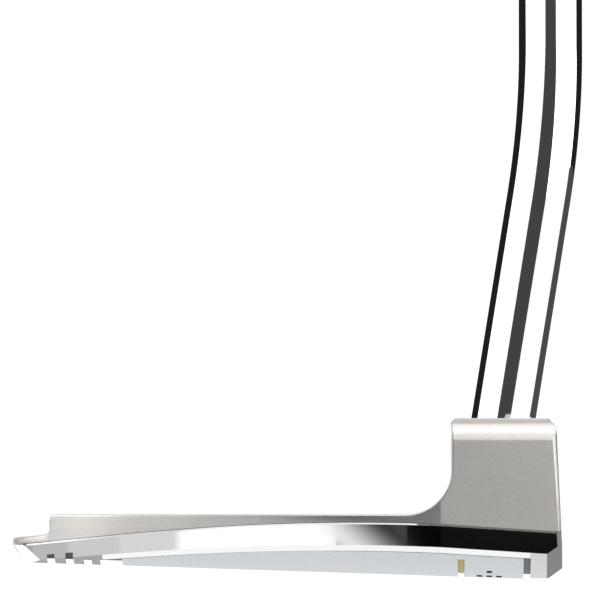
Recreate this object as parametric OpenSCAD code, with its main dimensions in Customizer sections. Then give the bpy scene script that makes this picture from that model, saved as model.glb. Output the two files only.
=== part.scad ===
// Mallet putter, right-handed, 34 inch, standing at address.
// Millimetres. +Z is up, +X is the target side that the face points to, -Y is the toe, +Y is the heel.
// The origin is the lowest point of the sole, on the ground.

/* [Head outline] */
// radius of the rounded toe and heel sides
side_radius = 61.44; // [58:0.01:64]
// how far each side arc's centre lies across the centre line
side_offset = 12; // [10:0.1:14]
// where the side arcs are widest, behind the origin
side_centre = 18.5; // [17:0.1:20]
// half width of the head at the face
face_half_width = 46.2; // [45:0.1:47]
// inward angle of the flat front stretch of each side
side_toe_in = 10.2; // [8:0.1:12]
// rearmost point of the head, behind the origin
rear_reach = 76.9; // [75:0.1:78]
// lean of the rear wall, in under the head
rear_undercut = 38; // [30:1:45]
// sweep of each half of the rear wall away from the centre line
rear_sweep = 6.7; // [5:0.1:8]

/* [Sole] */
// heel to toe camber radius
camber = 290; // [270:1:320]
// rise of the sole towards the back, in degrees
sole_slope = 1.9; // [1.5:0.1:2.3]
// height of the frame's dished top above the sole's lowest point
band_height = 2.66; // [2.4:0.01:3.2]
// heel to toe radius of the dished top
dish_radius = 250; // [230:1:300]
// rise of the dished top towards the back, in degrees
dish_slope = 1.7; // [1.5:0.1:2.3]
// slope of the leading-edge bevel
bevel_slope = 35.7; // [30:0.1:40]
// width of the frame's border around the sole plate
border = 5; // [4.5:0.1:6]
// depth of the sole plate's pocket
pocket_depth = 0.7; // [0.6:0.05:0.9]

/* [Body] */
// angle that the face leans back
loft = 3.1; // [2:0.1:4]
// face position at ground level
face_reach = 2.54; // [2.3:0.01:2.8]
// height of the block's top
block_top = 23.2; // [22.5:0.1:24.5]
// the block's rear wall, behind the origin
block_rear = 13.56; // [13.2:0.01:14.5]
// height of the deck's top
deck_top = 9.44; // [9.2:0.01:10]
// blend between the block and the deck
blend_radius = 6.5; // [5:0.1:7]
// roll of the block's top edge at the toe and the heel
end_roll = 3.5; // [2.5:0.1:4]
// rear end of the raised deck, behind the origin
deck_reach = 71.4; // [70:0.1:72]
// thickness of the damping sheet under the body
gasket_thickness = 0.1; // [0.1:0.05:0.3]

/* [Face insert] */
// half length of the insert
insert_half_length = 36; // [30:0.5:38]
// lower edge of the insert above the ground
insert_bottom = 5.2; // [5:0.1:7]
// upper edge of the insert above the ground
insert_top = 19.4; // [18:0.1:19.8]
// thickness of the insert plate
insert_thickness = 1.9; // [1.5:0.1:1.9]
// thickness of the pad behind it
pad_thickness = 0.5; // [0.3:0.1:0.5]

/* [Shaft and grip] */
// distance from the ground to the butt, along the upper shaft
club_length = 864; // [838:1:889]
// where the shaft's centre enters the block's top, behind the origin
entry_x = 6; // [5.5:0.1:6.5]
// where the shaft's centre enters, from the centre towards the heel
entry_y = 19; // [17:0.5:21]
// forward lean of the shaft below the bend
lower_lean = 9.1; // [8:0.1:10]
// lean of the shaft above the bend, towards the heel
lie_lean = 20; // [18:0.5:22]
// radius of the bend at the shaft's centre
bend_radius = 57; // [50:1:60]
// radius of the shaft's tip
tip_radius = 4.7; // [4.6:0.01:4.7]
// radius of the shaft's butt
butt_radius = 7.35; // [7.2:0.01:7.6]
// wall of the tube
tube_wall = 0.5; // [0.4:0.05:0.6]
// length of the grip
grip_length = 267; // [250:1:280]

/* [Hidden] */
$fn = 96;
wide_fn = 256;
far = 200;
slip = 0.05;
body_inset = 0.35;
// middle of the flat front stretch of each side, behind the origin
flat_start = side_centre - side_radius * sin(side_toe_in);
corner_chamfer = 0.5;
steel = [0.78, 0.79, 0.8];
satin = [0.68, 0.66, 0.64];
black = [0.08, 0.08, 0.08];

// sole plate layout, as distances behind the origin
pocket_front = 2.2;
plate_front = 3.2;
plate_rear = 60.9;
// width of the open groove between the plate's sides and the frame
plate_gap = 0.6;
pocket_rear = 64.1;
plate_thickness = 0.6;
inlay_front = 11.7;
inlay_rear = 12.6;
inlay_half_length = 38.4;
inlay_thickness = 0.2;
mark_depth = 0.2;
// rear sole slots: [distance behind the origin, half length]; the last two run out through both sides
rear_slots = [[65.9, 22], [68.5, 40], [71.2, 40]];
slot_width = 1.1;
slot_depth = 0.68;

// fasteners and weights
screw_spots = [[-14, 25], [-46, 19], [-14, -25], [-46, -19]];
screw_radius = 1.45;
screw_head_radius = 2.75;
pin_spots = [[-30, 38], [-30, -38]];
pin_radius = 1.5;
// depth of the screw heads' undersides in the frame, and height of the fasteners' upper ends
head_sink = 0.2;
fastener_top = deck_top - 1.2;
weight_x = -7.1;
weight_y = 39;
weight_radius = 5.3;
weight_top = 18.6;
rear_weight_x = -60;
rear_weight_radius = 9;
rear_weight_floor = 5.05;
rear_weight_height = 2.6;

// sight lines
line_width = 1.6;
line_depth = 0.5;
line_front = 26;
line_rear = 66;
top_mark_front = 3;
top_mark_rear = 11;
top_mark_width = 1.2;

// shaft path
turn_cos = cos(lower_lean) * cos(lie_lean);
turn = acos(turn_cos);
tangent = bend_radius * tan(turn / 2);
upper_x = 0.87;
knee_z = block_top + (upper_x + entry_x) / tan(lower_lean);
knee = [upper_x, entry_y, knee_z];
low_dir = [sin(lower_lean), 0, cos(lower_lean)];
high_dir = [0, sin(lie_lean), cos(lie_lean)];
inward = (high_dir - low_dir * turn_cos) / sin(turn);
bend_start = knee - low_dir * tangent;
bend_centre = bend_start + inward * bend_radius;
bend_axis = cross(-inward, low_dir);
bore_depth = 14;
adhesive_gap = 0.15;
lower_length = (bend_start[2] - block_top) / cos(lower_lean) + bore_depth;
butt_run = club_length - knee_z / cos(lie_lean);
// steps of the upper shaft, measured from the knee
first_step = 250;
step_length = 22;
step_count = 12;
step_rise = (butt_radius - tip_radius) / step_count;
step_ramp = 2;
cap_thickness = 4;
grip_start = butt_run - grip_length;
shaft_end = butt_run - cap_thickness;
tape_thickness = 0.2;
grip_bore = butt_radius + tape_thickness;
vent_radius = 1;
// shift of the grip's fuller palm section, and how far the thumb flat is from the shaft's axis
palm_shift = 2.6;
thumb_flat = 10.2;

// ---- placement helpers

module on_sole() {
  rotate([0, sole_slope, 0])
    children();
}

module on_face() {
  translate([face_reach, 0, 0])
    rotate([0, -loft, 0])
      children();
}

// a frame on the lower shaft: z runs up the tube, zero where the tube enters the block
module on_lower_shaft() {
  translate([-entry_x, entry_y, block_top])
    rotate([0, lower_lean, 0])
      children();
}

// a frame on the upper shaft: z runs up the tube, zero at the knee, -y is the thumb side of the grip
module on_upper_shaft() {
  translate(knee)
    rotate([-lie_lean, 0, 0])
      children();
}

// ---- head envelopes

module camber_solid(radius) {
  on_sole()
    translate([0, 0, camber])
      rotate([0, 90, 0])
        cylinder(r = radius, h = 2 * far, center = true, $fn = wide_fn);
}

// everything above the frame's dished top, raised by rise
module dish_solid(rise) {
  rotate([0, dish_slope, 0])
    translate([0, 0, band_height + dish_radius])
      rotate([0, 90, 0])
        cylinder(r = dish_radius - rise, h = 2 * far, center = true, $fn = wide_fn);
}

// the plan shape of the head, drawn in by inset
module outline_solid(inset) {
  wall = face_half_width - inset / cos(side_toe_in);
  run = far / 2;
  spread = run * tan(side_toe_in);
  intersection() {
    union() {
      intersection() {
        translate([-side_centre, -side_offset, -far / 4])
          cylinder(r = side_radius - inset, h = far / 2);
        translate([-side_centre, side_offset, -far / 4])
          cylinder(r = side_radius - inset, h = far / 2);
      }
      // the flat front stretch runs on to the face, where the arcs would turn in too soon
      cross_bar(-far / 4, flat_start, far / 2);
    }
    translate([0, 0, -far / 4])
      linear_extrude(height = far / 2)
        polygon([
          [face_reach + 1, wall - tan(side_toe_in)],
          [face_reach - run, wall + spread],
          [face_reach - run, -wall - spread],
          [face_reach + 1, -wall + tan(side_toe_in)]
        ]);
  }
}

// everything behind the face, with the face's toe and heel corners chamfered
module face_solid() {
  corner = face_half_width;
  on_face()
    translate([0, 0, -far / 4])
      linear_extrude(height = far / 2)
        polygon([
          [0, corner - corner_chamfer],
          [-corner_chamfer - 8, corner + 8],
          [-far / 2, corner + 8],
          [-far / 2, -corner - 8],
          [-corner_chamfer - 8, -corner - 8],
          [0, -corner + corner_chamfer]
        ]);
}

// everything above the leading-edge bevel
module bevel_solid() {
  bevel_radius = 350;
  translate([0.2, 0, 0])
    rotate([0, -bevel_slope, 0])
      translate([0, 0, bevel_radius])
        rotate([0, 90, 0])
          cylinder(r = bevel_radius, h = 2 * far, center = true, $fn = wide_fn);
}

// everything in front of one half of the undercut rear wall; side is -1 at the toe and 1 at the heel
module rear_wall_solid(side) {
  wall_top = band_height + rear_reach * tan(dish_slope);
  translate([-rear_reach, 0, wall_top])
    rotate([0, -rear_undercut, 0])
      rotate([0, 0, -side * rear_sweep])
        translate([0, -far / 2, -far / 2])
          cube([far, far, far]);
}

// height of the sole above the ground, at a distance behind the origin and off the centre line
function camber_lift(back, side) =
  back * tan(sole_slope) + (camber - sqrt(camber * camber - side * side)) / cos(sole_slope);

// a bar across the head: back_a and back_b are distances behind the origin
module cross_bar(back_a, back_b, half_length) {
  translate([-back_b, -half_length, -far / 4])
    cube([back_b - back_a, 2 * half_length, far / 2]);
}

// ---- head pieces

module base_frame() {
  color(steel)
    difference() {
      intersection() {
        camber_solid(camber);
        outline_solid(0);
        face_solid();
        bevel_solid();
        rear_wall_solid(-1);
        rear_wall_solid(1);
      }
      dish_solid(0);
      plate_pocket();
      for (slot = rear_slots)
        difference() {
          cross_bar(slot[0] - slot_width / 2, slot[0] + slot_width / 2, slot[1]);
          camber_solid(camber - slot_depth);
        }
      for (spot = screw_spots)
        screw(spot, slip);
      for (spot = pin_spots)
        dowel(spot, 0);
    }
}

module plate_pocket() {
  difference() {
    intersection() {
      outline_solid(border);
      cross_bar(pocket_front, pocket_rear, far / 2);
    }
    camber_solid(camber - pocket_depth);
  }
}

// the part of a sheet between two depths above the sole, limited to the sole plate's plan shape
module sole_sheet(depth_low, depth_high, inset, front, rear) {
  difference() {
    intersection() {
      camber_solid(camber - depth_low);
      outline_solid(border + inset);
      cross_bar(front, rear, far / 2);
    }
    camber_solid(camber - depth_high);
  }
}

module sole_plate() {
  color([0.8, 0.81, 0.83])
    difference() {
      sole_sheet(0, plate_thickness, plate_gap, plate_front, plate_rear);
      cross_bar(inlay_front, inlay_rear, inlay_half_length);
      intersection() {
        mark_bars();
        sole_sheet(-1, mark_depth, 0, plate_front, plate_rear);
      }
    }
}

module plate_tape() {
  tape_margin = 1;
  color([0.85, 0.8, 0.65])
    difference() {
      sole_sheet(
        plate_thickness, pocket_depth, plate_gap + tape_margin,
        plate_front + tape_margin, plate_rear - tape_margin
      );
      cross_bar(inlay_front, inlay_rear, inlay_half_length);
      for (spot = screw_spots)
        translate([spot[0], spot[1], -far / 4])
          cylinder(r = screw_head_radius + slip, h = far / 2);
    }
}

module groove_inlay() {
  color([0.72, 0.65, 0.42])
    difference() {
      intersection() {
        camber_solid(camber - pocket_depth + inlay_thickness);
        cross_bar(inlay_front + slip, inlay_rear - slip, inlay_half_length - slip);
      }
      camber_solid(camber - pocket_depth);
    }
}

// plain dashes across the sole, the same at the toe and the heel
module mark_bars() {
  dash_width = 0.8;
  rear_row = -9.9;
  row_pitch = 1.4;
  long_dash = 6;
  long_dash_y = 11.5;
  short_dash = 4;
  short_dash_y = 22.5;
  for (side = [-1, 1]) {
    for (step = [0:2])
      translate([rear_row + step * row_pitch, side * long_dash_y - long_dash / 2, -far / 4])
        cube([dash_width, long_dash, far / 2]);
    translate([rear_row + row_pitch, side * short_dash_y - short_dash / 2, -far / 4])
      cube([dash_width, short_dash, far / 2]);
  }
}

module sole_marks() {
  color(black)
    intersection() {
      mark_bars();
      sole_sheet(0, mark_depth, 0, plate_front, plate_rear);
    }
}

// a prism across the whole head from a side view drawn in x and z
module across() {
  translate([0, far / 2, 0])
    rotate([90, 0, 0])
      linear_extrude(height = far)
        children();
}

// the space above the deck and behind the block, with the blend between them
module deck_cutter() {
  across()
    difference() {
      translate([-far / 2, deck_top])
        square([far / 2 - block_rear, far / 4]);
      difference() {
        translate([-block_rear - blend_radius, deck_top - 1])
          square([blend_radius + 1, blend_radius + 1]);
        translate([-block_rear - blend_radius, deck_top + blend_radius])
          circle(r = blend_radius);
      }
    }
}

// the rounded rear edge and the chamfered front edge of the block's top
module top_edge_cutter() {
  rear_round = 0.75;
  across()
    difference() {
      translate([-block_rear - 1, block_top - rear_round])
        square([rear_round + 1, rear_round + 1]);
      translate([-block_rear + rear_round, block_top - rear_round])
        circle(r = rear_round);
    }
  across()
    polygon([[0.25, block_top], [0.25, block_top + 1], [6, block_top + 1], [6, block_top - 5.75]]);
}

// the step down from the deck to the rear flange, with a rounded crest and foot
module rear_step_cutter() {
  flange_front_z = 6.5;
  flange_rear_z = 6.1;
  crest = 0.9;
  foot = 0.8;
  across()
    difference() {
      polygon([
        [-deck_reach, deck_top + 1],
        [-deck_reach, flange_front_z],
        [-rear_reach, flange_rear_z],
        [-rear_reach - 5, flange_rear_z],
        [-rear_reach - 5, deck_top + 1]
      ]);
      difference() {
        translate([-deck_reach - foot, flange_front_z - foot])
          square([foot + 1, 2 * foot]);
        translate([-deck_reach - foot, flange_front_z + foot])
          circle(r = foot);
      }
    }
  across()
    difference() {
      translate([-deck_reach - 1, deck_top - crest])
        square([crest + 1, crest + 1]);
      translate([-deck_reach + crest, deck_top - crest])
        circle(r = crest);
    }
}

// rounds the block's top edge along one end wall; side is -1 at the toe and 1 at the heel
module roll_cutter(side) {
  wall = face_half_width - body_inset / cos(side_toe_in);
  roll_length = 30;
  roll_over = 5;
  translate([face_reach, side * wall, block_top])
    rotate([0, 0, -side * side_toe_in])
      difference() {
        translate([-roll_length, side > 0 ? -end_roll : -roll_over, -end_roll])
          cube([roll_length + 10, end_roll + roll_over, end_roll + 1]);
        translate([-roll_length - 1, -side * end_roll, -end_roll])
          rotate([0, 90, 0])
            cylinder(r = end_roll, h = roll_length + 12);
      }
}

module rear_flange_solid() {
  flange_radius = 50;
  translate([flange_radius - rear_reach, 0, 0])
    cylinder(r = flange_radius, h = far, center = true);
}

module upper_body() {
  color(satin)
    difference() {
      intersection() {
        dish_solid(gasket_thickness);
        outline_solid(body_inset);
        face_solid();
        union() {
          rear_flange_solid();
          cross_bar(-10, 65, far / 2);
        }
        translate([-far / 2, -far / 2, -1])
          cube([far, far, block_top + 1]);
      }
      deck_cutter();
      top_edge_cutter();
      rear_step_cutter();
      roll_cutter(-1);
      roll_cutter(1);
      insert_recess();
      on_lower_shaft()
        translate([0, 0, -bore_depth])
          cylinder(r = tip_radius + adhesive_gap, h = bore_depth + 5);
      for (side = [-1, 1])
        weight_slug(side, slip, -1);
      translate([rear_weight_x, 0, 0])
        cylinder(r = rear_weight_radius + slip, h = rear_weight_floor + rear_weight_height + slip);
      for (spot = screw_spots)
        screw(spot, slip);
      for (spot = pin_spots)
        dowel(spot, 0);
      sight_bar(line_front, line_rear, line_width, deck_top, line_depth + 1);
      sight_bar(top_mark_front, top_mark_rear, top_mark_width, block_top, line_depth + 1);
    }
}

module insert_recess() {
  on_face()
    translate([-insert_thickness - pad_thickness, -insert_half_length, insert_bottom])
      cube([far / 4, 2 * insert_half_length, insert_top - insert_bottom]);
}

module face_insert() {
  color([0.6, 0.61, 0.62])
    on_face()
      translate([-insert_thickness, -insert_half_length + slip, insert_bottom + slip])
        cube([insert_thickness, 2 * (insert_half_length - slip), insert_top - insert_bottom - 2 * slip]);
}

module insert_pad() {
  color(black)
    on_face()
      translate([-insert_thickness - pad_thickness, -insert_half_length + slip, insert_bottom + slip])
        cube([pad_thickness, 2 * (insert_half_length - slip), insert_top - insert_bottom - 2 * slip]);
}

module body_gasket() {
  gasket_margin = 0.25;
  gasket_front = 1.2;
  gasket_rear = 72;
  color([0.5, 0.5, 0.48])
    difference() {
      intersection() {
        dish_solid(0);
        outline_solid(body_inset + gasket_margin);
        cross_bar(-gasket_front, gasket_rear, far / 2);
      }
      dish_solid(gasket_thickness);
      for (spot = screw_spots)
        translate([spot[0], spot[1], 0])
          cylinder(r = screw_radius + slip, h = 20);
      for (spot = pin_spots)
        translate([spot[0], spot[1], 0])
          cylinder(r = pin_radius, h = 20);
    }
}

// a slug of dense metal in the block's end, standing on the gasket; side is -1 at the toe
module weight_slug(side, grow, floor_z) {
  translate([weight_x, side * weight_y, floor_z])
    cylinder(r = weight_radius + grow, h = weight_top + grow - floor_z);
}

module end_weight(side) {
  color([0.35, 0.35, 0.37])
    intersection() {
      weight_slug(side, 0, 0);
      dish_solid(gasket_thickness);
    }
}

module toe_weight() {
  end_weight(-1);
}

module heel_weight() {
  end_weight(1);
}

module rear_weight() {
  color([0.35, 0.35, 0.37])
    translate([rear_weight_x, 0, rear_weight_floor])
      cylinder(r = rear_weight_radius, h = rear_weight_height);
}

// a countersunk screw driven up from the pocket; grow makes the hole for it
module screw(spot, grow) {
  seat = camber_lift(-spot[0], spot[1]) + pocket_depth;
  head_height = 1.3;
  head_base = seat + head_sink;
  translate([spot[0], spot[1], head_base])
    cylinder(r1 = screw_head_radius + grow, r2 = screw_radius + grow, h = head_height);
  translate([spot[0], spot[1], head_base])
    cylinder(r = screw_radius + grow, h = fastener_top + head_sink - head_base + grow);
  if (grow > 0)
    translate([spot[0], spot[1], seat - 1])
      cylinder(r = screw_head_radius + grow, h = 1 + head_sink);
}

module frame_screws() {
  socket_radius = 0.9;
  socket_depth = 1.2;
  color([0.25, 0.25, 0.27])
    for (spot = screw_spots)
      difference() {
        screw(spot, 0);
        translate([spot[0], spot[1], 0])
          cylinder(
            r = socket_radius, $fn = 6,
            h = camber_lift(-spot[0], spot[1]) + pocket_depth + head_sink + socket_depth
          );
      }
}

module dowel(spot, grow) {
  pin_floor = 0.4;
  seat = camber_lift(-spot[0], spot[1]) + pocket_depth + pin_floor;
  translate([spot[0], spot[1], seat])
    cylinder(r = pin_radius + grow, h = fastener_top - seat);
}

module dowel_pins() {
  color(steel)
    for (spot = pin_spots)
      dowel(spot, 0);
}

// a bar along the centre line, let in by line_depth below a top face; front and rear are
// distances behind the origin
module sight_bar(front, rear, width, top, height) {
  translate([-rear, -width / 2, top - line_depth])
    cube([rear - front, width, height]);
}

module deck_sight_line() {
  color([0.95, 0.95, 0.93])
    sight_bar(line_front, line_rear, line_width, deck_top, line_depth - slip);
}

module topline_sight_mark() {
  color([0.95, 0.95, 0.93])
    sight_bar(top_mark_front, top_mark_rear, top_mark_width, block_top, line_depth - slip);
}

// ---- shaft and grip

// the bend as a rod; it laps into the straight tubes by a hair at both ends
module bend_rod(radius) {
  lap = 0.2;
  multmatrix([
    [-inward[0], low_dir[0], bend_axis[0], bend_centre[0]],
    [-inward[1], low_dir[1], bend_axis[1], bend_centre[1]],
    [-inward[2], low_dir[2], bend_axis[2], bend_centre[2]]
  ])
    rotate([0, 0, -lap])
      rotate_extrude(angle = turn + 2 * lap)
        translate([bend_radius, 0])
          circle(r = radius - 0.01);
}

// the tube inside the block and up to the bend, as a rod
module lower_rod(radius, start) {
  on_lower_shaft()
    translate([0, 0, start])
      cylinder(r = radius, h = lower_length - bore_depth - start);
}

// the stepped upper tube's outline, drawn in by inset; each step is a short ramp
function step_points(inset) = [
  for (step = [0:step_count - 1])
    for (edge = [0, 1])
      [
        tip_radius + step_rise * (step + edge) - inset,
        first_step + step_length * step + step_ramp * edge
      ]
];

module upper_rod(inset, top) {
  on_upper_shaft()
    rotate_extrude()
      polygon(concat(
        [[0, tangent], [tip_radius - inset, tangent]],
        step_points(inset),
        [[butt_radius - inset, top], [0, top]]
      ));
}

module shaft() {
  color(steel)
    difference() {
      union() {
        lower_rod(tip_radius, -bore_depth);
        bend_rod(tip_radius);
        upper_rod(0, shaft_end);
      }
      lower_rod(tip_radius - tube_wall, -bore_depth - 1);
      bend_rod(tip_radius - tube_wall);
      upper_rod(tube_wall, shaft_end + 1);
    }
}

module shaft_adhesive() {
  color([0.75, 0.7, 0.5])
    on_lower_shaft()
      translate([0, 0, -bore_depth])
        difference() {
          cylinder(r = tip_radius + adhesive_gap, h = bore_depth - 1);
          translate([0, 0, -1])
            cylinder(r = tip_radius, h = bore_depth + 2);
        }
}

module shaft_tip_plug() {
  color(black)
    on_lower_shaft()
      translate([0, 0, -bore_depth])
        cylinder(r = tip_radius - tube_wall, h = 6);
}

module shaft_band() {
  band_start = grip_start - 60;
  band_length = 14;
  band_wall = 0.25;
  color([0.2, 0.2, 0.22])
    on_upper_shaft()
      translate([0, 0, band_start])
        difference() {
          cylinder(r = step_radius(band_start) + band_wall, h = band_length);
          translate([0, 0, -1])
            cylinder(r = step_radius(band_start), h = band_length + 2);
        }
}

// outside radius of the upper shaft at a distance from the knee
function step_radius(run) =
  tip_radius + step_rise * min(step_count, max(0, ceil((run - first_step) / step_length)));

module counterweight() {
  color([0.35, 0.35, 0.37])
    on_upper_shaft()
      translate([0, 0, shaft_end - 32])
        cylinder(r = butt_radius - tube_wall, h = 30);
}

module grip_tape() {
  color([0.85, 0.8, 0.65])
    on_upper_shaft()
      translate([0, 0, grip_start + 2])
        difference() {
          cylinder(r = grip_bore, h = shaft_end - grip_start - 2);
          translate([0, 0, -1])
            cylinder(r = butt_radius, h = grip_length);
        }
}

// pistol grip: a tapered round with a flat thumb side and a fuller palm side near the butt
module grip() {
  color(black)
    on_upper_shaft()
      difference() {
        intersection() {
          union() {
            translate([0, 0, grip_start])
              rotate_extrude()
                polygon([
                  [0, 0], [9.2, 0], [9.6, 1], [9.9, 8], [11.6, 70], [12.2, 130], [12.6, 190],
                  [13.4, 245], [13.6, 258], [13.2, grip_length - cap_thickness],
                  [0, grip_length - cap_thickness]
                ]);
            translate([0, palm_shift, grip_start])
              rotate_extrude()
                polygon([
                  [0, 120], [9, 120], [10.8, 150], [12.6, 185], [13.8, 215], [14, 240],
                  [13.4, 258], [12.6, grip_length - cap_thickness],
                  [0, grip_length - cap_thickness]
                ]);
          }
          translate([-far / 2, -thumb_flat, grip_start - 1])
            cube([far, far, grip_length + 2]);
        }
        translate([0, 0, grip_start - 2])
          cylinder(r = grip_bore, h = grip_length + 4);
        translate([0, 0, grip_start - 2])
          cylinder(r = step_radius(grip_start) + tape_thickness, h = 4);
      }
}

module grip_cap() {
  color([0.12, 0.12, 0.12])
    on_upper_shaft()
      translate([0, 0, shaft_end])
        difference() {
          intersection() {
            union() {
              cylinder(r1 = 13.2, r2 = 12.2, h = cap_thickness);
              translate([0, palm_shift, 0])
                cylinder(r1 = 12.6, r2 = 11.6, h = cap_thickness);
            }
            translate([-far / 2, -thumb_flat, -1])
              cube([far, far, cap_thickness + 2]);
          }
          translate([0, 0, -1])
            cylinder(r = vent_radius, h = cap_thickness + 2);
        }
}

base_frame();
upper_body();
body_gasket();
sole_plate();
plate_tape();
groove_inlay();
sole_marks();
face_insert();
insert_pad();
toe_weight();
heel_weight();
rear_weight();
frame_screws();
dowel_pins();
deck_sight_line();
topline_sight_mark();
shaft();
shaft_adhesive();
shaft_tip_plug();
shaft_band();
counterweight();
grip_tape();
grip();
grip_cap();
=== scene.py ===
"""Mallet putter at address, shown on its toe side."""
import math
import bpy
import bmesh
from mathutils import Matrix, Vector


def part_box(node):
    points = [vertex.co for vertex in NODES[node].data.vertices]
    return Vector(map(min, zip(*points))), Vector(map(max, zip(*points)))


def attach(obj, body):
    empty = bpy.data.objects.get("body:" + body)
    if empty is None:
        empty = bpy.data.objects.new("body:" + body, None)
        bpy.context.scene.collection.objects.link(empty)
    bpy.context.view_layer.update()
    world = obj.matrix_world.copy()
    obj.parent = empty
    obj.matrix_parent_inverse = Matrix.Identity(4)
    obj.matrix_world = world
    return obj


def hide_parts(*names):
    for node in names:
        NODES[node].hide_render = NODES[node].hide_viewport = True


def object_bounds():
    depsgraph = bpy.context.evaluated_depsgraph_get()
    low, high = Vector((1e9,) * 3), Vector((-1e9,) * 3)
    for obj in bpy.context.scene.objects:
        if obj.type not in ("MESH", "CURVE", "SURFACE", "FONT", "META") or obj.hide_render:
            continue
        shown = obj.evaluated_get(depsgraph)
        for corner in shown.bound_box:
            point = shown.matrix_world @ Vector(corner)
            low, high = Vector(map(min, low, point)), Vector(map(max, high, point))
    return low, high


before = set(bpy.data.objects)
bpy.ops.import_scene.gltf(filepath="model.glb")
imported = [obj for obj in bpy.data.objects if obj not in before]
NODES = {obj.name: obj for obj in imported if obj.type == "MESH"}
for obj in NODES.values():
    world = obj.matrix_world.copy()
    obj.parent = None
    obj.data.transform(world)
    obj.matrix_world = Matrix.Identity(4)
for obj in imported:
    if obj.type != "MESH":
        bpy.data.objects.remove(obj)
CAD_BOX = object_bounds()
MM = 0.001


# ---- materials

def material(name, color, metallic=0.0, rough=0.5, edge=(1, 1, 1)):
    """A Principled material; edge tints a metal where it is seen at a grazing angle."""
    mat = bpy.data.materials.new(name)
    mat.use_nodes = True
    tree = mat.node_tree
    shader = tree.nodes["Principled BSDF"]
    shader.inputs["Base Color"].default_value = (*color, 1)
    shader.inputs["Metallic"].default_value = metallic
    shader.inputs["Roughness"].default_value = rough
    if metallic:
        shader.inputs["Specular Tint"].default_value = (*edge, 1)
    return mat, tree, shader


def noise(tree, scale, detail=2.0, stretch=(1, 1, 1)):
    """Noise in object space, stretched along an axis; returns its factor output."""
    place = tree.nodes.new("ShaderNodeTexCoord")
    size = tree.nodes.new("ShaderNodeMapping")
    size.inputs["Scale"].default_value = stretch
    grain = tree.nodes.new("ShaderNodeTexNoise")
    grain.inputs["Scale"].default_value = scale
    grain.inputs["Detail"].default_value = detail
    tree.links.new(place.outputs["Object"], size.inputs["Vector"])
    tree.links.new(size.outputs["Vector"], grain.inputs["Vector"])
    return grain.outputs["Fac"]


def remap(tree, value, low, high, start=0.3, end=0.7):
    """Spreads a noise value between start and end over low to high."""
    span = tree.nodes.new("ShaderNodeMapRange")
    span.inputs["From Min"].default_value = start
    span.inputs["From Max"].default_value = end
    span.inputs["To Min"].default_value = low
    span.inputs["To Max"].default_value = high
    tree.links.new(value, span.inputs["Value"])
    return span.outputs["Result"]


def tint(tree, value, dark, light, start=0.3, end=0.7):
    """Spreads a noise value between start and end over two colours."""
    ramp = tree.nodes.new("ShaderNodeValToRGB")
    ramp.color_ramp.elements[0].position = start
    ramp.color_ramp.elements[0].color = (*dark, 1)
    ramp.color_ramp.elements[1].position = end
    ramp.color_ramp.elements[1].color = (*light, 1)
    tree.links.new(value, ramp.inputs["Fac"])
    return ramp.outputs["Color"]


def bump(tree, shader, value, height, strength=1.0):
    """Raises the surface by a noise value, up to a height in metres."""
    node = tree.nodes.new("ShaderNodeBump")
    node.inputs["Strength"].default_value = strength
    node.inputs["Distance"].default_value = height
    tree.links.new(value, node.inputs["Height"])
    tree.links.new(node.outputs["Normal"], shader.inputs["Normal"])


def polished_steel():
    mat, tree, shader = material("polished_steel", (0.86, 0.86, 0.87), 1, 0.05)
    tree.links.new(remap(tree, noise(tree, 60), 0.04, 0.08), shader.inputs["Roughness"])
    return mat


def satin_body():
    """The fine even grain that bead blasting leaves."""
    mat, tree, shader = material("satin_body", (0.6, 0.58, 0.56), 1, 0.34)
    grain = noise(tree, 6500, 1)
    tone = tint(tree, grain, (0.4, 0.385, 0.37), (0.48, 0.465, 0.45))
    tree.links.new(tone, shader.inputs["Base Color"])
    tree.links.new(remap(tree, grain, 0.32, 0.37), shader.inputs["Roughness"])
    bump(tree, shader, grain, 0.000014, 0.35)
    return mat


def brushed_plate():
    """Streaks across the head."""
    mat, tree, shader = material("brushed_plate", (0.8, 0.81, 0.83), 1, 0.3, (0.8, 0.82, 0.84))
    streak = noise(tree, 4200, 2, (1, 0.02, 1))
    tone = tint(tree, streak, (0.55, 0.575, 0.59), (0.69, 0.71, 0.72))
    tree.links.new(tone, shader.inputs["Base Color"])
    tree.links.new(remap(tree, streak, 0.22, 0.36), shader.inputs["Roughness"])
    bump(tree, shader, streak, 0.00001, 0.3)
    return mat


def plain(name, color, metallic, rough, grain_scale=800, spread=0.1, height=0.00001,
          edge=(1, 1, 1)):
    """An evenly grained material whose tone varies by spread either side of its colour."""
    mat, tree, shader = material(name, color, metallic, rough, edge)
    grain = noise(tree, grain_scale)
    dark = [c * (1 - spread) for c in color]
    light = [min(1, c * (1 + spread)) for c in color]
    tree.links.new(tint(tree, grain, dark, light), shader.inputs["Base Color"])
    tree.links.new(remap(tree, grain, rough * 0.9, min(1, rough * 1.1)), shader.inputs["Roughness"])
    bump(tree, shader, grain, height, 0.4)
    return mat


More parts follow.
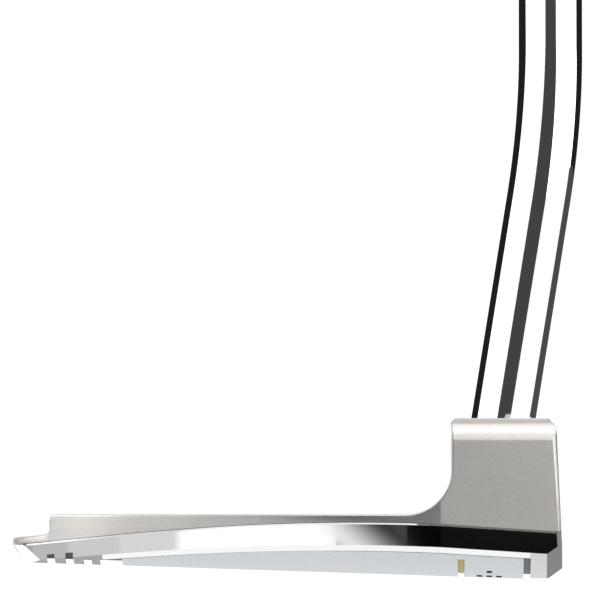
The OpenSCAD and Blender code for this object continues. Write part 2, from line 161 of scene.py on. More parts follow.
MATERIALS = {
    "polished_steel": polished_steel(),
    "satin_body": satin_body(),
    "brushed_plate": brushed_plate(),
    "gold_strip": plain("gold_strip", (0.56, 0.46, 0.24), 1, 0.3, edge=(0.62, 0.53, 0.31)),
    # dark steel painted on the ceilings of the sole's pocket and slots: painted shade
    "recess_painted_shade": plain("recess_painted_shade", (0.2, 0.21, 0.22), 1, 0.35, edge=(0.4, 0.4, 0.4)),
    # dark brownish steel painted on the band's top chamfer: painted reflection of the blasted body,
    # darkened as painted shade of the seam
    "seam_painted_reflection_shade": plain("seam_painted_reflection_shade", (0.15, 0.138, 0.128), 1, 0.3, edge=(0.22, 0.2, 0.185)),
    "insert_metal": plain("insert_metal", (0.55, 0.56, 0.57), 1, 0.35),
    "dense_metal": plain("dense_metal", (0.3, 0.3, 0.32), 1, 0.5),
    "screw_steel": plain("screw_steel", (0.2, 0.2, 0.22), 1, 0.4),
    "shaft_chrome": plain("shaft_chrome", (0.88, 0.88, 0.89), 1, 0.03, 60, 0.01, 0),
    "white_fill": plain("white_fill", (0.85, 0.85, 0.83), 0, 0.4),
    "black_fill": plain("black_fill", (0.003, 0.003, 0.003), 0, 0.9),
    # grey painted on the black film under the body to lighten the shaded gap: painted light
    "gap_painted_light_grey": plain("gap_painted_light_grey", (0.5, 0.5, 0.48), 0, 0.6),
    "black_pad": plain("black_pad", (0.03, 0.03, 0.03), 0, 0.6),
    "bonding_tape": plain("bonding_tape", (0.8, 0.74, 0.58), 0, 0.7),
    "epoxy": plain("epoxy", (0.7, 0.62, 0.38), 0, 0.4),
    "band_plastic": plain("band_plastic", (0.04, 0.04, 0.045), 0, 0.35),
    "grip_rubber": plain("grip_rubber", (0.02, 0.02, 0.02), 0, 0.75),
}
dull = MATERIALS["black_fill"].node_tree.nodes["Principled BSDF"]
dull.inputs["Specular IOR Level"].default_value = 0.05

# each CAD node's slots take their finish by name, but the film under the body is painted grey instead
# of its black, so that the shaded gap above the band reads lighter: painted light
for node, obj in NODES.items():
    for entry in obj.material_slots:
        name = entry.material.name.split(".")[0] if entry.material else ""
        if name in MATERIALS:
            entry.material = MATERIALS["gap_painted_light_grey" if node == "body_gasket" else name]


# ---- solids, in millimetres until they are finished

def arc(cx, cy, radius, start, end, step):
    """Points along an arc, angles in degrees, about one per step of angle."""
    count = max(2, math.ceil(abs(end - start) / step))
    angles = [math.radians(start + (end - start) * i / count) for i in range(count + 1)]
    return [(cx + radius * math.cos(a), cy + radius * math.sin(a)) for a in angles]


def circle(sides):
    """Angles in radians of equally spaced points round a circle."""
    return [2 * math.pi * k / sides for k in range(sides)]


def new_object(name, mesh):
    obj = bpy.data.objects.new(name, mesh)
    bpy.context.scene.collection.objects.link(obj)
    return obj


def solid(bm, place):
    """Makes an object of the bmesh, its faces turned outwards, moved to its place."""
    bmesh.ops.recalc_face_normals(bm, faces=bm.faces)
    if place:
        bm.transform(place)
    mesh = bpy.data.meshes.new("solid")
    bm.to_mesh(mesh)
    bm.free()
    return new_object("solid", mesh)


def prism(points, axis, low, high, place=None):
    """A prism on a closed outline: axis z takes (x, y) points, y takes (x, z) and x takes (y, z)."""
    where = {
        "z": lambda u, v, w: (u, v, w),
        "y": lambda u, v, w: (u, w, v),
        "x": lambda u, v, w: (w, u, v),
    }[axis]
    bm = bmesh.new()
    ends = [[bm.verts.new(where(u, v, w)) for u, v in points] for w in (low, high)]
    bm.faces.new(ends[0])
    bm.faces.new(ends[1])
    for i in range(len(points)):
        j = (i + 1) % len(points)
        bm.faces.new((ends[0][i], ends[0][j], ends[1][j], ends[1][i]))
    return solid(bm, place)


def shell(rings, place=None):
    """A solid whose skin joins equal rings of points, each to the next and the last to the first."""
    bm = bmesh.new()
    loops = [[bm.verts.new(point) for point in ring] for ring in rings]
    for a, b in zip(loops, loops[1:] + loops[:1]):
        for k in range(len(a)):
            j = (k + 1) % len(a)
            bm.faces.new((a[k], a[j], b[j], b[k]))
    return solid(bm, place)


def box(x0, x1, y0, y1, z0, z1, place=None):
    return prism([(x0, y0), (x1, y0), (x1, y1), (x0, y1)], "z", z0, z1, place)


def rod(radius, low, high, place, sides=96):
    return prism(arc(0, 0, radius, 0, 360, 360 / sides)[:-1], "z", low, high, place)


def bake(obj):
    """Turns the object's modifiers into its mesh."""
    graph = bpy.context.evaluated_depsgraph_get()
    graph.update()
    mesh = bpy.data.meshes.new_from_object(obj.evaluated_get(graph))
    obj.modifiers.clear()
    obj.data = mesh


def combine(obj, other, how="DIFFERENCE"):
    """Cuts the other solid from the object, or keeps what the two share, and uses the other up."""
    mod = obj.modifiers.new("cut", "BOOLEAN")
    mod.operation = how
    mod.solver = "EXACT"
    mod.object = other
    bake(obj)
    bpy.data.objects.remove(other)


def trim(obj, point, normal):
    """Cuts the solid along a plane and keeps the side away from the normal."""
    bm = bmesh.new()
    bm.from_mesh(obj.data)
    parts = bm.verts[:] + bm.edges[:] + bm.faces[:]
    cut = bmesh.ops.bisect_plane(
        bm, geom=parts, dist=1e-6, plane_co=point, plane_no=normal, clear_outer=True)
    rim = [e for e in cut["geom_cut"] if isinstance(e, bmesh.types.BMEdge)]
    bmesh.ops.holes_fill(bm, edges=rim, sides=0)
    bmesh.ops.recalc_face_normals(bm, faces=bm.faces)
    bm.to_mesh(obj.data)
    bm.free()


def merge(obj, distance):
    """Welds points closer together than the distance."""
    bm = bmesh.new()
    bm.from_mesh(obj.data)
    bmesh.ops.remove_doubles(bm, verts=bm.verts, dist=distance)
    bm.to_mesh(obj.data)
    bm.free()


def finish_piece(obj, name, material_name, *nodes, sharp=35):
    """Scales to metres, shades smooth, and stands in for its CAD nodes."""
    obj.name = obj.data.name = name
    obj.data.transform(Matrix.Scale(MM, 4))
    obj.data.shade_smooth()
    obj.data.set_sharp_from_angle(angle=math.radians(sharp))
    mod = obj.modifiers.new("normals", "WEIGHTED_NORMAL")
    mod.keep_sharp = True
    mod.weight = 50
    obj.data.materials.clear()
    obj.data.materials.append(MATERIALS[material_name])
    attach(obj, "root")
    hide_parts(*nodes)
    return obj


# ---- head envelopes, the same as the CAD's; x runs forwards and y towards the heel

SIDE_RADIUS, SIDE_OFFSET, SIDE_CENTRE = 61.44, 12, 18.5
FACE_HALF, TOE_IN, FACE_X, LOFT = 46.2, math.radians(10.2), 2.54, math.radians(3.1)
FACE_CHAMFER = 0.5
CAMBER, SLOPE = 290, math.radians(1.9)
BAND, DISH_RADIUS, DISH_SLOPE = 2.66, 250, math.radians(1.7)
DECK, BLOCK_REAR, REACH = 9.44, -13.56, -71.4
REAR = round(CAD_BOX[0][0] / MM, 1)
BLOCK_TOP = round(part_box("upper_body")[1][2] / MM, 1)
SPAN, UNDER, OVER = 60, -6, 30  # clear of the head at its sides, below it and above it
WELD = 0.01
ON_FACE = Matrix.Translation((FACE_X, 0, 0)) @ Matrix.Rotation(-LOFT, 4, "Y")


def flat_wall(x, inset):
    return FACE_HALF - inset / math.cos(TOE_IN) + (FACE_X - x) * math.tan(TOE_IN)


def side_wall(x, inset):
    return -SIDE_OFFSET + math.sqrt(max(0, (SIDE_RADIUS - inset) ** 2 - (x + SIDE_CENTRE) ** 2))


def outline(inset, front=6.0, rear=None, nose=None):
    """The head's plan outline drawn in by inset, as (x, y) points, cut off across at front and rear.
    nose is the radius of the rounded rear end, where there is one."""
    radius = SIDE_RADIUS - inset
    meet = -SIDE_CENTRE + radius * math.sin(TOE_IN)
    while flat_wall(meet, inset) < side_wall(meet, inset):
        meet -= 0.002
    start = math.asin((meet + SIDE_CENTRE) / radius)
    apex = -math.acos(SIDE_OFFSET / radius)
    heel = [(front, flat_wall(front, inset))]
    count = 220
    for i in range(count + 1):
        a = start + (apex - start) * i / count
        across = max(0, -SIDE_OFFSET + radius * math.cos(a))
        heel.append((-SIDE_CENTRE + radius * math.sin(a), across))
    if rear is not None:
        heel = [p for p in heel if p[0] > rear] + [(rear, side_wall(rear, inset))]
    if nose is not None:
        centre = nose + REAR
        nose_front = -65
        heel = [p for p in heel if p[0] > nose_front or math.hypot(p[0] - centre, p[1]) < nose]
        reach = 180 - math.degrees(math.asin(heel[-1][1] / nose))
        heel += arc(centre, 0, nose, reach + 0.3, 180, 0.5)
    if heel[-1][1] < 1e-6:
        toe = [(x, -y) for x, y in reversed(heel[:-1])]
        heel[-1] = (heel[-1][0], 0)
    else:
        toe = [(x, -y) for x, y in reversed(heel)]
    return heel + toe


def camber_height(x, y, base, radius, slope):
    """Height of a cambered surface: an arc from side to side, falling forwards by the slope."""
    rise = base + radius - math.sqrt(radius ** 2 - y ** 2)
    return -x * math.tan(slope) + rise / math.cos(slope)


def sole_height(x, y):
    return camber_height(x, y, 0, CAMBER, SLOPE)


def dish_height(x, y):
    return camber_height(x, y, BAND, DISH_RADIUS, DISH_SLOPE)


def above_arc(radius, axis, top, rear, front, place):
    """Everything above an arc swept along x; axis is the height of its centre of curvature."""
    half = math.degrees(math.asin(SPAN / radius))
    edge = arc(0, axis, radius, -90 - half, -90 + half, 0.25)
    return prism(edge + [(SPAN, top), (-SPAN, top)], "x", rear, front, place)


def above(radius, axis=CAMBER, slope=SLOPE):
    """Everything above the sole's camber, or above another surface like it."""
    tilt = Matrix.Rotation(slope, 4, "Y")
    return above_arc(radius, axis, top=60, rear=-130, front=40, place=tilt)


def above_dish(rise=0):
    """Everything above the frame's dished top, raised by rise."""
    return above(DISH_RADIUS - rise, BAND + DISH_RADIUS, DISH_SLOPE)


def edge_cutter(width):
    """A three-sided ring that takes the band's upper outer edge off at 45 degrees."""
    margin, lift = 0.25, 0.02
    corners = ((width + lift, lift), (-margin, -width - margin), (-margin, lift))
    return shell([[(x, y, dish_height(x, y) + rise) for x, y in outline(inset)]
                  for inset, rise in corners])


def trim_face(obj):
    """Cuts the head off along the face, with a chamfer at each end of it."""
    turn = ON_FACE.to_3x3()
    trim(obj, ON_FACE @ Vector((0, 0, 0)), turn @ Vector((1, 0, 0)))
    for side in (-1, 1):
        corner = ON_FACE @ Vector((0, side * (FACE_HALF - FACE_CHAMFER), 0))
        trim(obj, corner, turn @ Vector((1, side, 0)).normalized())


# ---- frame

BAND_CHAMFER = 0.27
LEG_RADIUS, LEG_LEAN, LEG_AHEAD = 350, math.radians(35.7), 0.2
WALL_LEAN, WALL_SWEEP = math.radians(38), math.radians(6.7)
POCKET_INSET, POCKET_FRONT, POCKET_REAR, POCKET_DEPTH = 5, -2.2, -64.1, 0.7
SLOTS = ((65.9, 22), (68.5, 40), (71.2, 40))  # how far back each slot is, and its half length
SLOT_HALF, SLOT_DEPTH = 0.55, 0.68
# where the frame's painted shade and painted reflection lie: the sides, the chamfers' rear end, the
# recesses' rear end and the ceilings' rise above the sole
SIDES_START, SEAM_SHADE_REAR, RECESSES_REAR, FLOOR_RISE = 44, -18.6, -74, 0.4
# frame slots for the painted shade on the recess ceilings, then for the painted reflection and painted
# shade on the side chamfers
RECESS_SHADE_INDEX, SEAM_SHADE_INDEX = 1, 2


def cut_leg(obj):
    """Bevels the front of the leg up from the sole, along an arc."""
    lead = Matrix.Translation((LEG_AHEAD, 0, 0)) @ Matrix.Rotation(-LEG_LEAN, 4, "Y")
    kept = above_arc(LEG_RADIUS, LEG_RADIUS, top=130, rear=-130, front=60, place=lead)
    combine(obj, kept, "INTERSECT")


def cut_rear_wall(obj):
    """Undercuts the rear wall, each half swept forwards from the centre line."""
    top = -REAR * math.tan(DISH_SLOPE) + BAND
    for side in (-1, 1):
        turn = Matrix.Rotation(-WALL_LEAN, 3, "Y") @ Matrix.Rotation(-side * WALL_SWEEP, 3, "Z")
        trim(obj, Vector((REAR, 0, top)), turn @ Vector((-1, 0, 0)))


def cut_recesses(obj):
    """Sinks the sole's pocket and its three rear slots."""
    pocket = prism(outline(POCKET_INSET, POCKET_FRONT, POCKET_REAR), "z", UNDER, OVER)
    combine(pocket, above(CAMBER - POCKET_DEPTH))
    combine(obj, pocket)
    for back, half in SLOTS:
        slot = box(-back - SLOT_HALF, -back + SLOT_HALF, -half, half, UNDER, OVER)
        combine(slot, above(CAMBER - SLOT_DEPTH))
        combine(obj, slot)


def base_frame():
    obj = prism(outline(0), "z", UNDER, OVER)
    combine(obj, above(CAMBER), "INTERSECT")
    combine(obj, above_dish())
    combine(obj, edge_cutter(BAND_CHAMFER))
    trim_face(obj)
    cut_leg(obj)
    cut_rear_wall(obj)
    cut_recesses(obj)
    merge(obj, WELD)
    piece = finish_piece(obj, "base_frame_polished", "polished_steel", "base_frame", sharp=20)
    piece.data.materials.append(MATERIALS["recess_painted_shade"])
    piece.data.materials.append(MATERIALS["seam_painted_reflection_shade"])
    for face in piece.data.polygons:
        x, y, z = (c / MM for c in face.center)
        chamfer = 0.5 < face.normal.z < 0.92
        recess_floor = face.normal.z < -0.9 and z - sole_height(x, y) > FLOOR_RISE
        # the band's top chamfer at the sides takes the dark brownish steel: painted reflection of the
        # blasted body with painted shade
        if chamfer and abs(y) > SIDES_START and x > SEAM_SHADE_REAR:
            face.material_index = SEAM_SHADE_INDEX
        # the ceilings of the sole's recesses take the dark steel, which is painted shade
        if recess_floor and abs(y) < SIDES_START and x > RECESSES_REAR:
            face.material_index = RECESS_SHADE_INDEX


# ---- sole plate

PLATE_INSET, PLATE_FRONT, PLATE_REAR, PLATE_THICKNESS = 5.6, -3.2, -60.9, 0.6
GROOVE_REAR, GROOVE_FRONT, GROOVE_HALF = -12.6, -11.7, 38.4
MARK_REAR, MARK_PITCH, MARK_WIDTH, MARK_DEPTH = -9.9, 1.4, 0.8, 0.2
INNER_MARK_Y, INNER_MARK_HALF, OUTER_MARK_Y, OUTER_MARK_HALF = 11.5, 3, 22.5, 2


def mark_bars():
    """The rear edge, the middle and the half length of each dash on the sole."""
    bars = []
    for side in (-1, 1):
        for step in range(3):
            bars.append((MARK_REAR + step * MARK_PITCH, side * INNER_MARK_Y, INNER_MARK_HALF))
        bars.append((MARK_REAR + MARK_PITCH, side * OUTER_MARK_Y, OUTER_MARK_HALF))
    return bars


def sole_plate():
    obj = prism(outline(PLATE_INSET, PLATE_FRONT, PLATE_REAR), "z", UNDER, OVER)
    combine(obj, above(CAMBER), "INTERSECT")
    combine(obj, above(CAMBER - PLATE_THICKNESS))
    combine(obj, box(GROOVE_REAR, GROOVE_FRONT, -GROOVE_HALF, GROOVE_HALF, UNDER, OVER))
    for x, y, half in mark_bars():
        bar = box(x, x + MARK_WIDTH, y - half, y + half, UNDER, OVER)
        combine(bar, above(CAMBER - MARK_DEPTH))
        combine(obj, bar)
    merge(obj, WELD)
    finish_piece(obj, "sole_plate_brushed", "brushed_plate", "sole_plate")


# ---- body

BODY_INSET, NOSE_RADIUS, FILM = 0.35, 50, 0.1
BODY_LOW, BODY_SPAN = -3, 70  # the blank starts below the dish and its profile spans the head
ROLL, ROLL_GAP = 3.5, 0.003
ROUNDING, ROUNDED_ANGLE = 0.3, 28
CORNER_DROP, CORNER_REAR, CORNER_SIDE, CORNER_ROUNDING = 4.5, -1.5, 40, 0.3
INSERT_DEPTH, INSERT_HALF, INSERT_LOW, INSERT_HIGH = 2.4, 36, 5.2, 19.4
SIGHT_MARKS = ((-66, -26, 0.8, DECK), (-11, -3, 0.6, BLOCK_TOP))  # rear, front, half width, height
MARK_SINK, CLEAR = 0.5, 1
LEAN = math.radians(9.1)
ENTRY = Vector((-6, 19, BLOCK_TOP))
SOCKET_RADIUS, SOCKET_DEPTH = 4.85, 14


def body_profile():
    """The body's side view, from under the face over the block and the deck to the rear flange."""
    ahead, chamfer_start, behind, bottom = 12, 0.25, 6, -4
    blend, rear_round, crest, foot, low, edge = 6.5, 0.75, 0.9, 0.8, 6.5, 6.1
    top = [(ahead, bottom), (ahead, BLOCK_TOP - ahead + chamfer_start), (chamfer_start, BLOCK_TOP)]
    top += arc(BLOCK_REAR + rear_round, BLOCK_TOP - rear_round, rear_round, 90, 180, 18)
    top += arc(BLOCK_REAR - blend, DECK + blend, blend, 0, -90, 3)
    top += arc(REACH + crest, DECK - crest, crest, 90, 180, 15)
    top += arc(REACH - foot, low + foot, foot, 0, -86, 17)
    top += [(REAR, edge), (REAR - behind, edge), (REAR - behind, bottom)]
    return top


def roll_end(obj, side):
    """Rolls the block's end over into its top."""
    corner = Matrix.Translation((FACE_X, side * flat_wall(FACE_X, BODY_INSET), BLOCK_TOP))
    corner = corner @ Matrix.Rotation(-side * TOE_IN, 4, "Z")
    quarter = arc(0, 0, ROLL, 0, 90, 4)
    curve = [(side * (y - ROLL + ROLL_GAP), z - ROLL + ROLL_GAP) for y, z in quarter]
    beyond, rear, front = 5, -27, 12
    curve += [(-side * ROLL, beyond), (side * beyond, beyond), (side * beyond, -ROLL)]
    combine(obj, prism(curve, "x", rear, front, corner))


def rounding(edge):
    """An edge's share of the full rounding: none underneath, and less at the tight front corners."""
    middle = (edge.verts[0].co + edge.verts[1].co) / 2
    if min(face.normal.z for face in edge.link_faces) < -0.7:
        return 0
    high = middle.z > BLOCK_TOP - CORNER_DROP
    if high and middle.x > CORNER_REAR and abs(middle.y) > CORNER_SIDE:
        return CORNER_ROUNDING
    return 1


def soften(obj):
    """Rounds the body's sharp edges."""
    merge(obj, ROUNDING * 0.65)
    bm = bmesh.new()
    bm.from_mesh(obj.data)
    weight = bm.edges.layers.float.new("bevel_weight_edge")
    for edge in bm.edges:
        if len(edge.link_faces) == 2 and edge.calc_face_angle() > math.radians(ROUNDED_ANGLE):
            edge[weight] = rounding(edge)
    bm.to_mesh(obj.data)
    bm.free()
    mod = obj.modifiers.new("edge", "BEVEL")
    mod.width = ROUNDING
    mod.segments = 3
    mod.limit_method = "WEIGHT"
    mod.use_clamp_overlap = False
    mod.miter_outer = "MITER_SHARP"
    bake(obj)
    obj.data.attributes.remove(obj.data.attributes["bevel_weight_edge"])


def upper_body():
    obj = prism(outline(BODY_INSET, nose=NOSE_RADIUS), "z", BODY_LOW, OVER)
    combine(obj, prism(body_profile(), "y", -BODY_SPAN, BODY_SPAN), "INTERSECT")
    trim_face(obj)
    combine(obj, above_dish(FILM), "INTERSECT")
    for side in (-1, 1):
        roll_end(obj, side)
    soften(obj)
    ahead = 20
    combine(obj, box(-INSERT_DEPTH, ahead, -INSERT_HALF, INSERT_HALF, INSERT_LOW, INSERT_HIGH, ON_FACE))
    socket = Matrix.Translation(ENTRY) @ Matrix.Rotation(LEAN, 4, "Y")
    combine(obj, rod(SOCKET_RADIUS, -SOCKET_DEPTH, 5, socket))
    for rear, front, half, top in SIGHT_MARKS:
        combine(obj, box(rear, front, -half, half, top - MARK_SINK, top + CLEAR))
    merge(obj, WELD)
    return finish_piece(obj, "upper_body_blasted", "satin_body", "upper_body")


# ---- shaft

TILT = math.radians(20)
LOW_DIR = Vector((math.sin(LEAN), 0, math.cos(LEAN)))
HIGH_DIR = Vector((0, math.sin(TILT), math.cos(TILT)))
TURN = math.acos(LOW_DIR.dot(HIGH_DIR))
BEND = 57
TANGENT = BEND * math.tan(TURN / 2)
UPPER_X = 0.87
KNEE = Vector((UPPER_X, ENTRY.y, BLOCK_TOP + (UPPER_X - ENTRY.x) / math.tan(LEAN)))
TIP, BUTT, WALL = 4.7, 7.35, 0.5
FIRST_STEP, STEP_LENGTH, STEPS_UP = 250, 22, 12
STEP_SHAPE = ((-0.3, 0), (0, 0), (0.3, 0.15), (1.7, 0.85), (2, 1), (2.3, 1))  # place, share of rise
SHAFT_END, GRIP_START = 789.67, 526.67  # up the shaft from the knee


def sweep(path, sides):
    """Points of the rings round each (centre, direction, radius) of a path, without a twist."""
    side = Vector((0, 1, 0)).cross(LOW_DIR).normalized()
    rings = []
    for centre, direction, radius in path:
        side = (side - direction * side.dot(direction)).normalized()
        up = direction.cross(side)
        rings.append([centre + (side * math.cos(a) + up * math.sin(a)) * radius
                      for a in circle(sides)])
    return rings


def tip_and_bend():
    """The parallel tip and the bend above it."""
    bend_start = KNEE - LOW_DIR * TANGENT
    length = (bend_start - ENTRY).length + SOCKET_DEPTH
    path = [(ENTRY + LOW_DIR * (-SOCKET_DEPTH + length * i / 12), LOW_DIR, TIP) for i in range(13)]
    inward = (HIGH_DIR - LOW_DIR * math.cos(TURN)) / math.sin(TURN)
    centre = bend_start + inward * BEND
    for i in range(1, 33):
        a = TURN * i / 32
        heading = LOW_DIR * math.cos(a) + inward * math.sin(a)
        path.append((centre + (LOW_DIR * math.sin(a) - inward * math.cos(a)) * BEND, heading, TIP))
    return path


def stepped_part():
    """The straight upper shaft: parallel, then widening in short steps up to the butt."""
    places = []
    run = TANGENT
    while run < FIRST_STEP - 5:
        run += 15
        places.append((min(run, FIRST_STEP - 1), TIP))
    rise = (BUTT - TIP) / STEPS_UP
    for step in range(STEPS_UP):
        start = FIRST_STEP + STEP_LENGTH * step
        places += [(start + at, TIP + rise * (step + share)) for at, share in STEP_SHAPE]
    places += [(SHAFT_END - 0.3, BUTT), (SHAFT_END, BUTT - 0.2)]
    return [(KNEE + HIGH_DIR * run, HIGH_DIR, radius) for run, radius in places]


def shaft():
    path = tip_and_bend() + stepped_part()
    bore = [(centre, heading, radius - WALL) for centre, heading, radius in reversed(path)]
    finish_piece(shell(sweep(path + bore, 128)), "shaft_chromed", "shaft_chrome", "shaft")


# ---- grip, in the upper shaft's own frame: z up the tube from the grip's mouth, -y the thumb side

# (height, radius) of the round part, and of the palm's swell on the side away from the thumb
GRIP_ROUND = [(0, 9.2), (1, 9.6), (8, 9.9), (70, 11.6), (130, 12.2), (190, 12.6), (245, 13.4),
              (258, 13.6), (263, 13.2)]
GRIP_PALM = [(120, 9), (150, 10.8), (185, 12.6), (215, 13.8), (240, 14), (258, 13.4), (263, 12.6)]
PALM_SHIFT, THUMB_FLAT, GRIP_RUN, GRIP_BORE = 2.6, 10.2, 263, 7.55
TREAD_LOW, TREAD_HIGH, TREAD_STEP, END_GROOVES = 16, 246, 0.5, (11, 252)
TREAD_DEPTH, BAR_DEPTH, END_DEPTH = 0.25, 0.28, 0.3
THUMB_SIDE, BAR_PITCH, BAR_WIDTH = 0.86, 12, 1.5  # THUMB_SIDE is the cosine of the flat's half angle
LANES, LANE_RISE, LANE_GROOVE = 16, 4, 0.42
ON_GRIP = (Matrix.Translation(KNEE) @ Matrix.Rotation(-TILT, 4, "X")
           @ Matrix.Translation((0, 0, GRIP_START)))


def along(table, z):
    """The radius at a height; none outside the table."""
    for (z0, r0), (z1, r1) in zip(table, table[1:]):
        if z0 <= z <= z1:
            return r0 + (r1 - r0) * (z - z0) / (z1 - z0)
    return 0


def section(a, round_radius, palm_radius, flat=THUMB_FLAT):
    """Distance from the shaft's axis to the grip's skin at an angle."""
    reach = round_radius
    across = PALM_SHIFT * math.cos(a)
    if palm_radius > abs(across):
        reach = max(reach, PALM_SHIFT * math.sin(a) + math.sqrt(palm_radius ** 2 - across ** 2))
    if math.sin(a) < 0:
        reach = min(reach, flat / -math.sin(a))
    return reach


def level(reaches, z):
    """A ring of points at a height, one at each distance from the axis."""
    return [(reach * math.cos(a), reach * math.sin(a), z)
            for reach, a in zip(reaches, circle(len(reaches)))]


def tread(turn, z):
    """Depth of the moulded pattern: crossed slanting grooves, and bars across the thumb flat."""
    if z < TREAD_LOW or z > TREAD_HIGH:
        return END_DEPTH if z in END_GROOVES else 0
    if math.cos(turn + math.pi / 2) > THUMB_SIDE:
        return BAR_DEPTH if z % BAR_PITCH < BAR_WIDTH else 0
    lane = LANES * turn / math.pi
    slants = (z / LANE_RISE + lane) % 2, (z / LANE_RISE - lane) % 2
    return TREAD_DEPTH if min(slants) < LANE_GROOVE else 0


def grip():
    sides = 192
    count = int((TREAD_HIGH - TREAD_LOW) / TREAD_STEP) + 1
    heights = [0, 1, 2.5, 8, 10.5, 11, 11.5]
    heights += [TREAD_LOW + TREAD_STEP * k for k in range(count)]
    heights += [251.5, 252, 252.5, 258, GRIP_RUN]
    rings = []
    for z in heights:
        radii = along(GRIP_ROUND, z), along(GRIP_PALM, z)
        rings.append(level([section(a, *radii) - tread(a, z) for a in circle(sides)], z))
    rings += [level([GRIP_BORE] * sides, z) for z in (GRIP_RUN, 0)]
    finish_piece(shell(rings, ON_GRIP), "grip_moulded", "grip_rubber", "grip", sharp=50)


def grip_cap():
    sides = 144
    edge = ((0, 0), (0.6, 0.15), (2.4, 0.6), (3.2, 0.85), (3.7, 1.3), (4, 2))  # height, shrink
    inside = ((8.6, 4), (8.4, 3.7), (7.8, 3.7), (7.6, 4), (3.2, 4), (3, 3.6), (1.4, 3.6),
              (1, 3.4), (1, 0))  # radius, height: a ring groove, a dimple and the vent
    cap_round, cap_palm = GRIP_ROUND[-1][1], GRIP_PALM[-1][1]
    rings = []
    for z, shrink in edge:
        flat = THUMB_FLAT - (0.4 if z > 3.5 else 0)
        reaches = [section(a, cap_round - shrink, cap_palm - shrink, flat) for a in circle(sides)]
        rings.append(level(reaches, GRIP_RUN + z))
    rings += [level([radius] * sides, GRIP_RUN + z) for radius, z in inside]
    finish_piece(shell(rings, ON_GRIP), "grip_cap_moulded", "grip_rubber", "grip_cap", sharp=40)


base_frame()
sole_plate()
BODY = upper_body()
shaft()
grip()
grip_cap()


# ---- studio, in metres: glowing cards round the head, which its mirror finishes reflect

HEAD_X, FLOOR_X = -0.03, -0.02  # centres of the standing cards and of the sectors on the floor
ROOM, CEILING = 1.2, 1.4
HEAD_CLEAR = 0.075
NEAR, NEAR_TOP = 0.2, 0.0105
LOW, LOW_TOP = 0.5, 0.022
INNER_LIFT, OUTER_LIFT, UNDER_LIFT = 0.0004, 0.0005, 0.0002  # heights of the cards on the floor


def glow(obj, strength):
    """Gives the object a white light of its own."""
    mat = bpy.data.materials.new(obj.name)
    mat.use_nodes = True
    tree = mat.node_tree
    tree.nodes.clear()
    out = tree.nodes.new("ShaderNodeOutputMaterial")
    light = tree.nodes.new("ShaderNodeEmission")
    light.inputs["Color"].default_value = (1, 1, 1, 1)
    light.inputs["Strength"].default_value = strength
    tree.links.new(light.outputs["Emission"], out.inputs["Surface"])
    obj.data.materials.append(mat)


def card(name, verts, faces, strength):
    """A glowing sheet that the camera doesn't see and that casts no shadow."""
    mesh = bpy.data.meshes.new(name)
    mesh.from_pydata(verts, [], faces)
    obj = new_object(name, mesh)
    glow(obj, strength)
    obj.visible_camera = False
    obj.visible_shadow = False
    return obj


def arc_card(name, start, end, strength, low=0, high=CEILING, radius=ROOM, lean=(0, 0)):
    """A standing curved card; angles in degrees from the camera's side, positive towards +X.
    lean turns its lower and upper edges by that much."""
    steps = max(4, int(abs(end - start) / 3))
    verts = []
    for i in range(steps + 1):
        for turn, z in zip(lean, (low, high)):
            a = math.radians(start + (end - start) * i / steps + turn)
            verts.append((HEAD_X + radius * math.sin(a), -radius * math.cos(a), z))
    faces = [(2 * i, 2 * i + 2, 2 * i + 3, 2 * i + 1) for i in range(steps)]
    return card(name, verts, faces, strength)


def flat_card(name, corners, strength):
    card(name, corners, [tuple(range(len(corners)))], strength)


def level_card(name, x0, x1, y0, y1, z, strength):
    flat_card(name, [(x0, y0, z), (x1, y0, z), (x1, y1, z), (x0, y1, z)], strength)


def sector(name, start, end, near, far, height, strength):
    """A part of a ring lying on the floor, between the near and far distances."""
    steps = 24
    verts = []
    for i in range(steps + 1):
        a = math.radians(start + (end - start) * i / steps)
        verts += [(FLOOR_X + r * math.sin(a), -r * math.cos(a), height) for r in (near, far)]
    faces = [(2 * i, 2 * i + 1, 2 * i + 3, 2 * i + 2) for i in range(steps)]
    card(name, verts, faces, strength)


arc_card("card_front", -21, 27, 0.06, low=-0.5, high=1.2)
arc_card("card_front_high", -21, 27, 1.4, low=1.2)
CARD_LEFT = arc_card("card_left", -21, -66, 1.2)
arc_card("card_left_far", -66, -106, 1.5)
arc_card("card_right", 27, 112, 2.6)
arc_card("card_back_left", -106, -160, 0.015, high=0.45)
arc_card("card_back_left_high", -106, -160, 1.3, low=0.45)
arc_card("card_back_right", 112, 160, 0.015)
arc_card("card_back", 160, 200, 1.25, radius=1.3)
level_card("card_top", -1.3, 1.3, -1.2, 0.25, CEILING, 2.3)
END_X, END_TOP = 0.04, 0.0125
end_corners = [(END_X, -0.08, 0), (END_X, 0, 0), (END_X, 0, END_TOP), (END_X, -0.08, END_TOP)]
flat_card("near_end", end_corners, 0.27)
level_card("card_top_back", -1.3, 1.3, 0.25, 1.3, CEILING, 0.9)

# low cards that the mirror band sees at its rear end, and the floor in front of each
FADE = [(-63 - 0.4 * k, -63.4 - 0.4 * k, 1.25 - 0.06 * k) for k in range(8)]
FADE += [(-66.2, -85, 0.76), (-85, -106, 0.68), (-106, -125, 0.56), (-125, -150, 0.41)]
for start, end, strength in FADE:
    arc_card("low", start, end, strength, high=LOW_TOP, radius=LOW)
    sector("low_floor", start, end, HEAD_CLEAR, LOW, INNER_LIFT, strength)

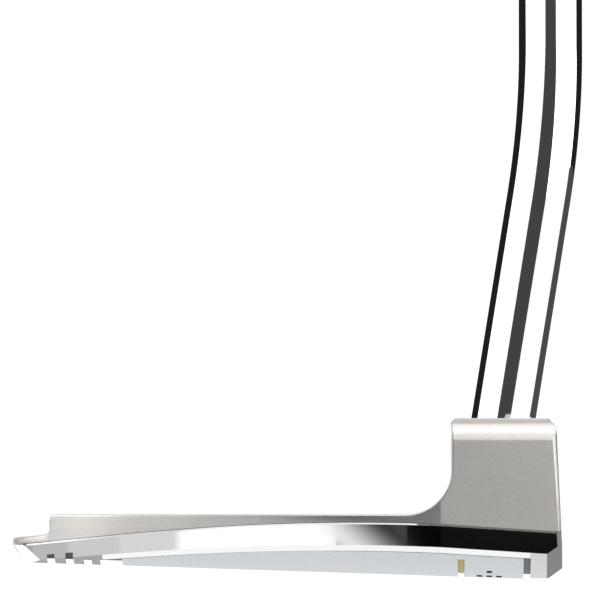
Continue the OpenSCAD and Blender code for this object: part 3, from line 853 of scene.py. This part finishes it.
# near cards that darken the band towards the front, by a smooth ramp after an even start
DARK_END, RAMP_TURN, RAMP_STEPS, RAMP_START = 1.6, 18.8, 24, 0.08
near_cards = [(15, 31, 0.005), (DARK_END, 15, 0.001)]
for step in range(RAMP_STEPS):
    start = DARK_END - RAMP_TURN * step / RAMP_STEPS
    part = max(0, (step + 0.5) / RAMP_STEPS - RAMP_START) / (1 - RAMP_START)
    strength = 0.0006 + 1.12 * part ** 2 * (3 - 2 * part)
    near_cards.append((start, start - RAMP_TURN / RAMP_STEPS, strength))
for start, end, strength in near_cards:
    slant = (11, -10) if start < DARK_END else (0, 0)
    arc_card("near", start, end, strength, high=NEAR_TOP, radius=NEAR, lean=slant)
sector("near_floor", DARK_END, 31, HEAD_CLEAR, NEAR, INNER_LIFT, 0.003)
sector("near_floor", -17, DARK_END, HEAD_CLEAR, NEAR, INNER_LIFT, 0.25)
sector("floor_front", -21, 27, NEAR, ROOM, OUTER_LIFT, 0.06)
sector("floor_back_right", 108, 162, 0.11, ROOM, OUTER_LIFT, 0.075)


def body_light(name, place, aim, width, height, power):
    """An area light that reaches the blasted body only."""
    lamp = bpy.data.lights.new(name, "AREA")
    lamp.shape = "RECTANGLE"
    lamp.size = width
    lamp.size_y = height
    lamp.energy = power
    obj = bpy.data.objects.new(name, lamp)
    obj.location = place
    obj.rotation_mode = "QUATERNION"
    obj.rotation_quaternion = (Vector(aim) - Vector(place)).to_track_quat("-Z", "Y")
    bpy.context.scene.collection.objects.link(obj)
    reach = bpy.data.collections.new(name)
    reach.objects.link(BODY)
    obj.light_linking.receiver_collection = reach
    obj.visible_camera = False


def round_about(azimuth, distance, height):
    """A place round the head; the azimuth is in degrees, as for the cards."""
    a = math.radians(azimuth)
    return (HEAD_X + distance * math.sin(a), -distance * math.cos(a), height)


CENTRE = (HEAD_X, -0.02, 0.012)
body_light("roll_light", (0.16, -0.48, 0.32), (-0.02, -0.04, 0.02), 0.4, 0.6, 0.58)
body_light("rear_light", round_about(-114, 0.8, 0.15), CENTRE, 0.6, 0.6, 3.0)
body_light("left_light", round_about(-50, 1.0, 0.25), CENTRE, 0.7, 0.8, 1.5)
body_light("right_light", round_about(44, 0.9, 0.25), CENTRE, 0.5, 0.5, 1.1)

# the left card lights everything but the body
kept_off = bpy.data.collections.new("off_card_left")
kept_off.objects.link(BODY)
CARD_LEFT.light_linking.receiver_collection = kept_off
kept_off.collection_objects[0].light_linking.link_state = "EXCLUDE"


def under(name, x0, x1, y1, strength, y0=-0.052):
    """A patch on the floor under the head, which lights the sole."""
    level_card(name, x0, x1, y0, y1, UNDER_LIFT, strength)


HEAD_FRONT, LEG_FRONT, REAR_FRONT, REAR_END = 0.0002, -0.0024, -0.064, -0.0752
under("under_head", REAR_FRONT, LEG_FRONT, 0.06, 1.0)
under("under_lip", LEG_FRONT, HEAD_FRONT, 0.06, 0.7)
for step in range(8):
    near = -0.052 if step == 0 else -0.026 + step * 0.002
    under("under_rear", REAR_END, REAR_FRONT, -0.024 + step * 0.002, 0.64 - step * 0.031, near)
under("under_rear", REAR_END, REAR_FRONT, 0.5, 0.4, -0.01)
under("under_edge", HEAD_FRONT, END_X, 0.3, 0.25)

world = bpy.data.worlds.new("studio")
bpy.context.scene.world = world
world.use_nodes = True
world.node_tree.nodes["Background"].inputs["Color"].default_value = (1, 1, 1, 1)
world.node_tree.nodes["Background"].inputs["Strength"].default_value = 1.0

mesh = bpy.data.meshes.new("floor")
mesh.from_pydata([(-3, -3, 0), (3, -3, 0), (3, 3, 0), (-3, 3, 0)], [], [(0, 1, 2, 3)])
floor = new_object("floor", mesh)
glow(floor, 1.15)


# ---- camera: far off on the toe side; FIELD is the width that it sees at the head

DISTANCE = 4.0
FIELD = 86.76 * MM
SENSOR = 36
lens = bpy.data.cameras.new("camera")
lens.type = "PERSP"
lens.sensor_width = SENSOR
lens.lens = SENSOR * DISTANCE / FIELD
lens.clip_end = 50
camera = bpy.data.objects.new("camera", lens)
camera.location = (-16 * MM, -DISTANCE, 9.4 * MM)
camera.rotation_mode = "QUATERNION"
aim = Vector((-35.43 * MM, 0, 40.43 * MM))
camera.rotation_quaternion = (aim - camera.location).to_track_quat("-Z", "Y")
bpy.context.scene.collection.objects.link(camera)
bpy.context.scene.camera = camera
bpy.context.scene.view_settings.view_transform = "Standard"
